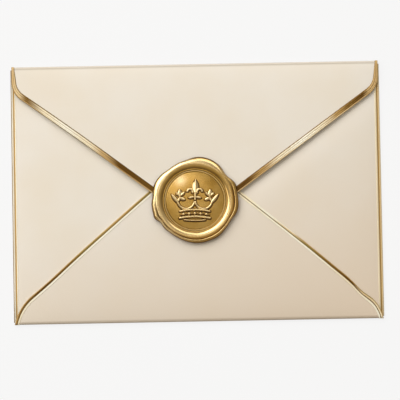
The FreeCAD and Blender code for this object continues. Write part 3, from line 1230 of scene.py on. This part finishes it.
@dataclass
class Crown:
    """A plain heraldic crown: three lilies on two swags, over a band with pearls.

    The band is bars of (half the width, ends, middle, half the thickness).
    """

    band: tuple[tuple[float, float, float, float], ...] = (
        (6.5, -4.85, -4.15, 0.46),
        (6.3, -6.35, -5.75, 0.20),
        (6.6, -7.85, -7.15, 0.50),
        (4.6, -8.65, -8.95, 0.32),
    )
    pearls_each_side: int = 2
    pearl_row: float = -5.75
    pearl_spacing: float = 2.5
    pearl_radius: float = 0.62
    pearl_sag: float = 0.0132
    shapes: list[Relief] = field(default_factory=list)

    def __post_init__(self) -> None:
        """Set out the shapes, of which most stand on both sides."""
        self.shapes.append(Leaf((0.25, 1.9), (0.25, 9.5), 1.8, Ridge.GABLE))
        self.shapes.append(Bar((0.15, 3.4), (0.16, 1.9), (0.15, 0.4), 0.50))
        self.shapes += self.half(-1) + self.half(1)
        for width, ends, middle, thickness in self.band:
            self.shapes.append(Bar((-width, ends), (0.0, middle), (width, ends), thickness))
        for step in range(-self.pearls_each_side, self.pearls_each_side + 1):
            u = step * self.pearl_spacing
            self.shapes.append(Pearl((u, self.pearl_row - self.pearl_sag * u * u), self.pearl_radius))

    @staticmethod
    def half(side: int) -> list[Relief]:
        """The leaves and bars of the right side (1) or the left side (-1)."""

        def to(u: float, v: float) -> tuple[float, float]:
            """A place on this side."""
            return (side * u, v)

        return [
            Leaf(to(0.0, 1.6), to(3.1, 1.0), 0.62),
            Leaf(to(6.5, 1.2), to(6.75, 5.0), 1.15),
            Leaf(to(6.3, 1.9), to(4.4, 3.8), 0.66),
            Leaf(to(6.9, 2.0), to(8.4, 3.5), 0.60),
            Leaf(to(6.7, 1.2), to(4.1, 0.1), 0.80),
            Leaf(to(6.6, 1.4), to(7.3, -0.6), 0.65),
            Leaf(to(6.7, -1.7), to(10.5, 3.0), 0.85),
            Leaf(to(8.0, -0.4), to(8.7, 1.4), 0.45),
            Bar(to(1.0, 3.5), to(2.0, 4.95), to(3.2, 4.2), 0.55),
            Bar(to(0.25, -0.8), to(3.7, -3.75), to(7.3, -1.2), 0.50),
        ]

    def height(self, u: Array, v: Array) -> Array:
        """The highest of the shapes at each place, from 0 to 1."""
        best = np.zeros(np.broadcast(u, v).shape)
        for shape in self.shapes:
            best = np.maximum(best, shape.height(u, v))
        return best


@dataclass(frozen=True)
class Patch:
    """A soft patch of painted highlight on the slopes of the wax; the shade patch paints shade the same
    way.

    It is a share, times the bell curve of the radius, times a soft half circle round
    its bearing. From a level of 2 on, the half circle is a whole one.
    """

    radius: float
    width: float
    share: float
    bearing: float = 0.0
    level: float = 2.0

    def strength(self, bearing: Array, radius: Array) -> Array:
        """How strong the patch is at each bearing and radius."""
        return self.share * sided(bearing, self.bearing, self.level) * bell(radius, self.radius, self.width)


@dataclass
class WaxSeal:
    """The poured and stamped wax, from its skirt over its rim to its face.

    Bulges and ripples of the edge are (bearing, reach, spread) in degrees and
    millimetres. Places on the skirt run from 0 at the rim's crest to 1 at its foot.
    """

    sheet: Sheet
    top_flap: Flap
    bottom_flap: Flap
    crown: Crown
    finish: WaxFinish
    x: float = -0.9
    y: float = -4.0
    turn_degrees: float = -1.1
    radius: float = 17.3
    bulges: tuple[tuple[float, float, float], ...] = (
        (75.0, 2.2, 36.0),
        (154.0, 1.6, 25.0),
        (195.0, 1.7, 29.0),
        (278.0, 1.6, 36.0),
        (351.0, 1.9, 29.0),
        (22.0, 1.1, 10.0),
    )
    ripples: tuple[tuple[float, float, float], ...] = (
        (40.0, -0.55, 10.0),
        (331.0, -0.5, 9.0),
        (303.0, 0.45, 11.0),
        (212.0, -0.6, 6.0),
        (203.0, 0.5, 5.0),
        (172.0, -0.5, 9.0),
        (100.0, -0.3, 8.0),
        (130.0, -0.2, 6.0),
    )
    skirt_height: float = 0.4
    skirt_rows: int = 34
    fold_bearing: float = -75.0
    fold_level: float = 0.75
    fold_swing: float = 1.6
    fold_room: float = 0.9
    fold_fade: float = 1.2
    groove_place: float = 0.36
    groove_width: float = 0.10
    groove_depth: float = 0.6
    groove_tone: float = 0.75
    lobe_place: float = 0.68
    lobe_width: float = 0.2
    lobe_height: float = 0.25
    rim_radius: float = 16.2
    rim_height: float = 2.0
    rim_rows: int = 30
    slope_tone: float = 0.55
    slope_start: float = 0.9
    slope_fade: float = 0.6
    step_tone: float = 0.85
    step_spread: float = 0.7
    ledge_radius: float = 14.1
    ledge_height: float = 1.1
    step_radius: float = 13.6
    step_height: float = 0.92
    step_width: float = 0.28
    step_rows: int = 34
    face_radius: float = 12.8
    face_height: float = 0.72
    dome: float = 0.40
    face_rows: int = 170
    relief: float = 0.72
    foil_reach: float = 3.6
    moat: float = 0.30
    moat_drop: float = 0.14
    moat_tone: float = 0.95
    moat_gain: float = 3.0
    moat_clear: float = 2.0
    moat_steps: int = 8
    rubbed_crown: float = 0.9
    rubbed_gain: float = 1.6
    glint_place: tuple[float, float] = (-6.3, 8.9)
    glint_width: float = 2.4
    glint_share: float = 0.8
    # Painted highlights on the slopes of the skirt and rim, and a bright line on the ledge
    highlight_patches: tuple[Patch, ...] = (
        Patch(17.3, 1.3, 0.9, 135.0, 0.55),
        Patch(15.2, 1.0, 0.7, -78.0, 0.5),
        Patch(17.5, 0.6, 0.42, -78.0, 0.5),
        Patch(13.2, 0.16, 0.5),
    )
    # Painted shade on the inner slope that faces away from the light
    shade: Patch = Patch(14.6, 0.62, 0.36, 105.0, 0.55)
    wall_bevel: float = 0.25
    wall_rows: int = 7
    wall_lift: float = 0.3
    under_rows: int = 14
    under_sink: float = 0.03
    bearings: int = 480

    def reach(self, bearing: Array) -> Array:
        """How far the wax spreads: a circle plus bell-shaped bulges and ripples by bearing."""
        spread = np.full(bearing.shape, self.radius)
        for middle, bulge, width in self.bulges + self.ripples:
            turn = np.degrees(half_turn(bearing - math.radians(middle)))
            spread = spread + bulge * bell(turn, 0.0, width)
        return spread

    def paper_top(self, x: Array, y: Array) -> Array:
        """Find the top of what the wax lies on.

        It is the pillow plus the level of the highest flap there, and the foil's
        height beside the top flap's edge.

        Args:
            x: Places along the width.
            y: Places across the height.

        Returns:
            Heights above the table.
        """
        sheet = self.sheet
        level = np.full(np.shape(x), sheet.side_level)
        level = np.where(y < self.bottom_flap.edge(x), sheet.bottom_level, level)
        inside = y - self.top_flap.edge(x)
        level = np.where(inside > 0.0, sheet.top_level, level)
        foil = np.where((inside > 0.0) & (inside < self.foil_reach), sheet.foil, 0.0)
        dip = np.where(inside > 0.0, 0.0, sheet.dip(x, y))
        return level + sheet.paper + foil + sheet.pillow(x, y) - dip

    def skirt(self, bearing: Array) -> tuple[Array, Array, Array]:
        """Shape the wax from its foot over the skirt to the crest of the rim.

        From the crest to the edge the height falls as the square root of 1 - s^2. On
        the lower and right sides a bell-shaped groove and lobe are added to it.

        Args:
            bearing: The bearings, as a row.

        Returns:
            Radius, height above the top flap, and painted shade in the groove and along the foot, rows by
            bearings.
        """
        edge = self.reach(bearing)
        s = np.sin(np.linspace(0.5, 0.0, self.skirt_rows) * math.pi)[:, None]
        radius = self.rim_radius + (edge - self.rim_radius) * s
        fall = np.sqrt(np.maximum(1.0 - s**2, 0.0))
        height = self.skirt_height + (self.rim_height - self.skirt_height) * fall
        room = np.clip((edge - self.rim_radius - self.fold_room) / self.fold_fade, 0.0, 1.0)
        around = sided(bearing, self.fold_bearing, self.fold_level, self.fold_swing) * room
        groove = around * bell(s, self.groove_place, self.groove_width)
        lobe = around * bell(s, self.lobe_place, self.lobe_width)
        foot = bell(s, 1.0, self.lobe_width)
        height = height - self.groove_depth * groove + self.lobe_height * lobe
        # Painted shade in the skirt's groove and along its foot
        return radius, height, np.clip(self.groove_tone * groove + foot, 0.0, 1.0)

    def rim(self) -> tuple[Array, Array, Array]:
        """Shape the wax from the crest down to the ledge and the steps to the face.

        The slope is a quarter ellipse, with a radius of rim less the difference times
        sin, and a height of ledge plus the difference times cos. Each step below it is
        the curve 3t^2 - 2t^3 over its own narrow width.

        Returns:
            Radius, height, and painted shade down the inner slope and in the steps, one value a row.
        """
        turn = np.linspace(0.0, 0.5, self.rim_rows)[1:] * math.pi
        radius = self.rim_radius - (self.rim_radius - self.ledge_radius) * np.sin(turn)
        height = self.ledge_height + (self.rim_height - self.ledge_height) * np.cos(turn)
        # Painted shade down the inner slope of the rim
        slope = self.slope_tone * smooth((turn - self.slope_start) / self.slope_fade)
        steps = np.linspace(self.ledge_radius, self.face_radius - self.step_width, self.step_rows)[1:]
        fall, groove = 0.0, 0.0
        for place, drop in (
            (self.step_radius, self.ledge_height - self.step_height),
            (self.face_radius, self.step_height - self.face_height),
        ):
            fall = fall + drop * smooth((place - steps) / self.step_width)
            spread = self.step_spread * self.step_width
            # Painted dark line in each step
            groove = groove + bell(steps, place - 0.5 * self.step_width, spread)
        rounded = np.column_stack([radius, height, slope])
        stepped = np.column_stack([steps, self.ledge_height - fall, self.step_tone * groove])
        return tuple(np.vstack([rounded, stepped]).T)

    def face(self, bearing: Array) -> tuple[Array, ...]:
        """Shape the stamped face: a low dome with the crown's relief on it.

        Round the crown lies a painted shadow: the relief moved a little in each direction,
        less the relief itself. The painted glint is a bell curve round its place, and the
        crown's top carries a painted highlight.

        Args:
            bearing: The bearings, as a row.

        Returns:
            Radius, height, painted shade and painted highlight, rows by bearings.
        """
        radius = np.linspace(self.face_radius - self.step_width, 0.0, self.face_rows)[1:, None]
        turned = bearing - math.radians(self.turn_degrees)
        u, v = radius * np.cos(turned), radius * np.sin(turned)
        crown = self.crown.height(u, v)
        dome = self.dome * (1.0 - (radius / self.face_radius) ** 4)
        height = self.face_height + dome + self.relief * crown
        spread = np.zeros(crown.shape)
        for step in range(self.moat_steps):
            angle = 2.0 * math.pi * step / self.moat_steps
            shift_u, shift_v = self.moat * math.cos(angle), self.moat * math.sin(angle)
            spread = np.maximum(spread, self.crown.height(u + shift_u, v + shift_v + self.moat_drop))
        # Painted shadow round the crown
        shadow = smooth(spread * self.moat_gain) * (1.0 - smooth(crown * self.moat_clear))
        glint = bell(np.hypot(u - self.glint_place[0], v - self.glint_place[1]), 0.0, self.glint_width)
        # Painted highlight on the crown's top, and a painted glint on the face
        wear_and_highlight = self.rubbed_crown * smooth(crown * self.rubbed_gain)
        rubbed = np.maximum(wear_and_highlight, self.glint_share * glint)
        return radius + 0.0 * bearing, height, self.moat_tone * shadow, rubbed

    def build(self) -> bpy.types.Object:
        """Join the rows into one closed surface and dress it.

        The underside follows the paper, and a short wall whose bevel goes by the sine
        joins it to the foot of the skirt.
        """
        bearing = np.linspace(0.0, 2.0 * math.pi, self.bearings, endpoint=False)[None, :]
        base = self.sheet.top_level + self.sheet.paper + self.sheet.pillow_rise
        rim = [np.broadcast_to(row[:, None], (len(row), self.bearings)) for row in self.rim()]
        face = self.face(bearing)
        radius, height, hollow = (np.vstack(rows) for rows in zip(self.skirt(bearing), rim, face[:3]))
        # Painted highlights on the skirt and rim
        highlighted = sum(patch.strength(bearing, radius[: -len(face[3])]) for patch in self.highlight_patches)
        rubbed = np.vstack([np.clip(highlighted, 0.0, 1.0), face[3]])
        # Painted shade on the inner slope that faces away from the light
        hollow = np.clip(hollow + self.shade.strength(bearing, radius), 0.0, 1.0)
        edge = self.reach(bearing)
        under_radius = (edge - self.wall_bevel) * np.linspace(0.0, 1.0, self.under_rows)[:, None]
        wall_share = np.linspace(0.0, 1.0, self.wall_rows)[1:-1, None]
        wall_radius = edge - self.wall_bevel * (1.0 - np.sin(wall_share * math.pi / 2.0))
        foot = self.paper_top(*self.around(under_radius, bearing)) - self.under_sink
        wall_foot = foot[-1:]
        wall_height = wall_foot + (base + self.skirt_height - wall_foot) * wall_share
        all_radius = np.vstack([under_radius, wall_radius, radius])
        all_height = np.vstack([foot, wall_height, base + height])
        # Painted shade on the wall, darkest at its foot
        all_hollow = np.vstack([0.0 * foot, 1.0 - self.wall_lift * wall_share + 0.0 * edge, hollow])
        all_rubbed = np.vstack([np.zeros((len(foot) + len(wall_share), self.bearings)), rubbed])
        points = stacked(*self.around(all_radius, bearing), all_height)
        surface = Surface()
        surface.grid(points, wrap_columns=True, hollow=all_hollow, rubbed=all_rubbed)
        piece = surface.mesh("wax_seal_gold", sharp_degrees=40.0)
        piece.data.materials.append(self.finish.material())
        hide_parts("wax_seal")
        return piece

    def around(self, radius: Array, bearing: Array) -> tuple[Array, Array]:
        """Places round the seal's middle, at a radius and a bearing."""
        return self.x + radius * np.cos(bearing), self.y + radius * np.sin(bearing)


@dataclass(frozen=True)
class Lamp:
    """A square soft lamp that points at the envelope."""

    name: str
    azimuth: float
    elevation: float
    distance: float
    size: float
    radiance: float
    colour: Colour

    def hang(self) -> None:
        """Place the lamp. Its power is radiance times its area times pi."""
        azimuth, elevation = math.radians(self.azimuth), math.radians(self.elevation)
        level = math.cos(elevation)
        way = Vector((level * math.cos(azimuth), level * math.sin(azimuth), math.sin(elevation)))
        data = bpy.data.lights.new(self.name, "AREA")
        data.shape = "SQUARE"
        data.size = self.size
        data.energy = self.radiance * self.size**2 * math.pi
        data.color = self.colour
        lamp = bpy.data.objects.new(self.name, data)
        lamp.location = way * self.distance
        lamp.rotation_euler = (-way).to_track_quat("-Z", "Y").to_euler()
        bpy.context.scene.collection.objects.link(lamp)


@dataclass
class Studio:
    """Floor, lamps, world and the camera that looks down on the flap side."""

    backdrop: BackdropFinish = BackdropFinish()
    lamps: tuple[Lamp, ...] = (
        Lamp("key", 128.0, 42.0, 1.6, 1.2, 3.5, (1.0, 0.99, 0.985)),
        Lamp("side", 72.0, 38.0, 1.6, 0.9, 1.7, (1.0, 0.99, 0.975)),
        Lamp("left_strip", 176.0, 36.0, 1.5, 0.8, 1.9, (1.0, 0.99, 0.985)),
        Lamp("window", 109.0, 74.0, 1.5, 0.3, 1.6, (1.0, 0.97, 0.98)),
        Lamp("overhead", 270.0, 80.0, 1.7, 1.5, 0.18, (1.0, 1.0, 1.0)),
    )
    floor_half: float = 4.0
    floor_height: float = -0.00005
    world_strength: float = 0.33
    world_colour: Colour = (1.0, 0.91, 0.77)
    camera_distance: float = 2.8
    camera_pitch_degrees: float = 7.9
    camera_roll_degrees: float = 1.08
    aim_mm: tuple[float, float] = (1.34, -3.24)
    frame_width_mm: float = 175.2

    def floor(self) -> None:
        """Lay the floor just under the envelope."""
        corners = ((-1, -1), (1, -1), (1, 1), (-1, 1))
        points = [(self.floor_half * x, self.floor_half * y, self.floor_height) for x, y in corners]
        data = bpy.data.meshes.new("floor")
        data.from_pydata(points, [], [(0, 1, 2, 3)])
        floor = bpy.data.objects.new("floor", data)
        bpy.context.scene.collection.objects.link(floor)
        data.materials.append(self.backdrop.material())

    def world(self) -> None:
        """Light everything evenly from a plain room."""
        world = bpy.data.worlds.new("soft_room")
        world.use_nodes = True
        graph = Graph(world.node_tree)
        inputs = {"Color": (*self.world_colour, 1.0), "Strength": self.world_strength}
        room = graph.node("ShaderNodeBackground", {}, inputs)
        graph.node("ShaderNodeOutputWorld", {}, {"Surface": room.outputs[0]})
        bpy.context.scene.world = world

    def camera(self) -> None:
        """Set the camera far above, a little towards the lower edge, and rolled."""
        pitch, roll = math.radians(self.camera_pitch_degrees), math.radians(self.camera_roll_degrees)
        back = Vector((0.0, -math.sin(pitch), math.cos(pitch)))
        up = Vector((0.0, math.cos(pitch), math.sin(pitch)))
        across = Vector((1.0, 0.0, 0.0))
        rolled_up = math.sin(roll) * across + math.cos(roll) * up
        rolled_across = math.cos(roll) * across - math.sin(roll) * up
        data = bpy.data.cameras.new("camera")
        data.lens = data.sensor_width * self.camera_distance / (self.frame_width_mm * MM)
        data.clip_end = 4.0 * self.camera_distance
        camera = bpy.data.objects.new("camera", data)
        aim = Vector((self.aim_mm[0] * MM, self.aim_mm[1] * MM, 0.0))
        turn = Matrix((rolled_across, rolled_up, back)).transposed()
        camera.matrix_world = Matrix.Translation(aim + back * self.camera_distance) @ turn.to_4x4()
        bpy.context.scene.collection.objects.link(camera)
        bpy.context.scene.camera = camera

    def build(self) -> None:
        """Set up everything that isn't part of the envelope."""
        self.floor()
        self.world()
        for lamp in self.lamps:
            lamp.hang()
        self.camera()
        bpy.context.scene.view_settings.view_transform = "Standard"


def report(piece: bpy.types.Object) -> None:
    """Log a piece's name and how many faces it has."""
    LOG.info("%s: %d faces", piece.name, len(piece.data.polygons))


class Gold(Enum):
    """The foil's tones, from painted highlight where it faces the light to painted shade where it is turned
    away.
    """

    IVORY = linear(255, 250, 230)
    CREAM = linear(248, 234, 200)
    CHAMPAGNE = linear(230, 204, 156)
    SAND = linear(208, 174, 118)
    TAN = linear(184, 146, 84)
    OLIVE = linear(150, 128, 66)
    BROWN = linear(126, 92, 34)
    BRONZE = linear(98, 64, 8)


IVORY, CREAM, CHAMPAGNE, SAND, TAN, OLIVE, BROWN, BRONZE = Gold

# Distances from a foil's edge that lie outside every border, and inside all of them
OUTSIDE = -1.0
INSIDE = 4.0


def ramp(tones: dict[float, Gold]) -> tuple[Stop, ...]:
    """Turn the tone at each place along a border into a ramp's stops."""
    return tuple((place, tone.value) for place, tone in tones.items())


def top_gilt() -> GiltFinish:
    """The top flap's foil: a wide band with two painted highlights along it, between thin lines of painted
    shade.
    """
    band = {
        0.0: SAND, 0.022: CHAMPAGNE, 0.047: BROWN, 0.09: CREAM, 0.15: IVORY, 0.205: CREAM, 0.25: SAND,
        0.295: BRONZE, 0.46: BROWN, 0.54: BRONZE, 0.635: BRONZE, 0.68: TAN, 0.73: CREAM, 0.785: IVORY,
        0.84: CREAM, 0.885: TAN, 0.92: BROWN, 0.952: BRONZE, 0.972: SAND, 1.0: SAND,
    }
    edge = {
        0.0: SAND, 0.06: SAND, 0.1: CREAM, 0.15: IVORY, 0.205: CREAM, 0.25: SAND, 0.3: TAN, 0.36: SAND,
        0.5: TAN, 0.62: SAND, 0.68: SAND, 0.73: CHAMPAGNE, 0.785: CREAM, 0.84: CREAM, 0.885: CHAMPAGNE,
        0.943: SAND, 1.0: SAND,
    }
    outer = {
        0.0: BROWN, 0.21: BROWN, 0.27: TAN, 0.36: SAND, 0.5: TAN, 0.62: SAND, 0.7: TAN, 0.785: CHAMPAGNE,
        0.885: SAND, 1.0: TAN,
    }
    seam = {
        0.0: BROWN, 0.08: SAND, 0.2: SAND, 0.27: BROWN, 0.64: BRONZE, 0.73: SAND, 0.85: SAND, 0.9: BROWN,
        1.0: BROWN,
    }
    lip = {
        0.0: TAN, 0.06: BROWN, 0.2: BROWN, 0.3: BRONZE, 0.65: BRONZE, 0.75: BROWN, 0.95: BROWN, 1.0: TAN,
    }
    lines = (
        GiltLine(0.5, 2.2, ramp(band)),
        GiltLine(OUTSIDE, 0.5, ramp(edge)),
        GiltLine(OUTSIDE, 0.22, ramp(outer)),
        GiltLine(1.3, 1.42, ramp(seam)),
        GiltLine(2.2, INSIDE, ramp(lip)),
    )
    return GiltFinish("gilt_top", lines)


def bottom_gilt() -> GiltFinish:
    """The bottom flap's foil: a bead from painted shade to painted highlight, a fine line of painted shade
    and a cream painted highlight.
    """
    bead = {
        0.0: TAN, 0.03: BROWN, 0.083: BRONZE, 0.14: BROWN, 0.2: OLIVE, 0.3: TAN, 0.36: OLIVE, 0.46: TAN,
        0.54: CREAM, 0.63: CREAM, 0.69: IVORY, 0.745: CHAMPAGNE, 0.8: OLIVE, 0.857: BROWN, 0.914: BRONZE,
        0.945: CHAMPAGNE, 1.0: CREAM,
    }
    rim = {
        0.0: SAND, 0.14: SAND, 0.25: CHAMPAGNE, 0.46: CHAMPAGNE, 0.54: CREAM, 0.63: CREAM, 0.69: IVORY,
        0.745: IVORY, 0.79: SAND, 0.857: TAN, 0.914: TAN, 0.95: OLIVE, 1.0: SAND,
    }
    fine = {
        0.0: BROWN, 0.083: BRONZE, 0.14: BROWN, 0.25: OLIVE, 0.36: OLIVE, 0.54: OLIVE, 0.8: OLIVE,
        0.857: BROWN, 0.92: BRONZE, 1.0: BROWN,
    }
    cream = {0.0: CREAM, 0.08: IVORY, 0.4: IVORY, 0.55: CREAM, 0.8: IVORY, 0.9: CREAM, 1.0: IVORY}
    lines = (
        GiltLine(0.35, 0.92, ramp(bead)),
        GiltLine(OUTSIDE, 0.35, ramp(rim)),
        GiltLine(0.92, 1.28, ramp(fine)),
        GiltLine(1.28, INSIDE, ramp(cream)),
    )
    return GiltFinish("gilt_bottom", lines, metallic=0.05)


def side_gilt(
    name: str, limits: Sequence[float], tones: Sequence[Gold], end_light: float = 0.75
) -> GiltFinish:
    """A side crease's foil: lines of painted highlight and painted shade side by side, each a tone darker
    at its ends.

    Args:
        name: The finish's name.
        limits: Where the second and each later line starts.
        tones: The lines' tones from the outside in.
        end_light: How much of a tone is left at the ends of its line.

    Returns:
        The finish.
    """
    starts, ends = (OUTSIDE, *limits), (*limits, INSIDE)
    lines = []
    for start, end, tone in zip(starts, ends, tones):
        dark = tuple(end_light * value for value in tone.value)
        stops = ((0.0, dark), (0.12, tone.value), (0.85, tone.value), (1.0, dark))
        lines.append(GiltLine(start, end, stops))
    lines.insert(0, lines.pop())
    return GiltFinish(name, tuple(lines), groove_shade_share=0.1, along_y=True, span_mm=114.0, metallic=0.3)


def flaps() -> tuple[Flap, Flap]:
    """The top flap, and the bottom flap that it presses down."""
    plain = Sheet()
    top = Flap(
        plain,
        sign=1,
        crease=plain.top,
        level=plain.top_level,
        shoulder_drop=12.1,
        shoulder_inset=0.0,
        shoulder_radius=10.0,
        tip_past_middle=14.4,
        tip_x=-0.8,
        tip_radius=8.0,
        bows=(Bow(-52.0, 0.5, 28.0), Bow(50.0, -0.05, 28.0)),
    )
    edge = top.outline()[::-1]
    sheet = replace(plain, cover_edge=(edge[:, 0], edge[:, 1]))
    bottom = Flap(
        sheet,
        sign=-1,
        crease=sheet.bottom,
        level=sheet.bottom_level,
        shoulder_drop=7.6,
        shoulder_inset=1.2,
        shoulder_radius=23.0,
        tip_past_middle=17.3,
        tip_x=-1.8,
        tip_radius=8.0,
        end_share=0.9,
        bows=(Bow(-66.0, 0.6, 11.0), Bow(63.0, 0.5, 11.0), Bow(72.2, 1.7, 4.7)),
    )
    return replace(top, sheet=sheet), bottom


def borders(top_flap: Flap, bottom_flap: Flap) -> list[FlapBorder | SideBorder]:
    """The gilt borders of the top flap, the bottom flap, the left side and the right side."""
    sheet = bottom_flap.sheet
    top = BorderSection(2.62, 0.12, (Bead(0.04, 0.5, 0.06), Bead(0.5, 1.33, 0.1), Bead(1.4, 2.2, 0.1)))
    bottom = BorderSection(2.12, 0.12, (Bead(0.02, 0.92, 0.02), Bead(1.3, 2.1, 0.02)))
    side = BorderSection(2.5, 0.08, (Bead(0.4, 1.0, 0.05), Bead(1.75, 2.45, 0.06)))
    left = side_gilt("gilt_left", (0.72, 1.24, 1.95), (BROWN, IVORY, TAN, IVORY))
    right = side_gilt("gilt_right", (0.5, 1.05, 1.75), (IVORY, CHAMPAGNE, TAN, CREAM))
    return [
        FlapBorder("top_gilt_edge", "top_flap_gilt_border", top_flap, top, top_gilt()),
        FlapBorder("bottom_gilt_edge", "bottom_flap_gilt_border", bottom_flap, bottom, bottom_gilt()),
        SideBorder("left_gilt_edge", "left_side_gilt_border", -1, sheet, bottom_flap, side, left),
        SideBorder("right_gilt_edge", "right_side_gilt_border", 1, sheet, bottom_flap, side, right),
    ]


def main() -> None:
    """Build the envelope from the paper up, then the studio round it."""
    logging.basicConfig(level=logging.INFO, format="%(message)s")
    top_flap, bottom_flap = flaps()
    sheet = bottom_flap.sheet
    report(FoldedPaper(sheet, top_flap, bottom_flap, PaperFinish()).build())
    for border in borders(top_flap, bottom_flap):
        report(border.build())
    report(WaxSeal(sheet, top_flap, bottom_flap, Crown(), WaxFinish()).build())
    Studio().build()


if __name__ == "__main__":
    main()
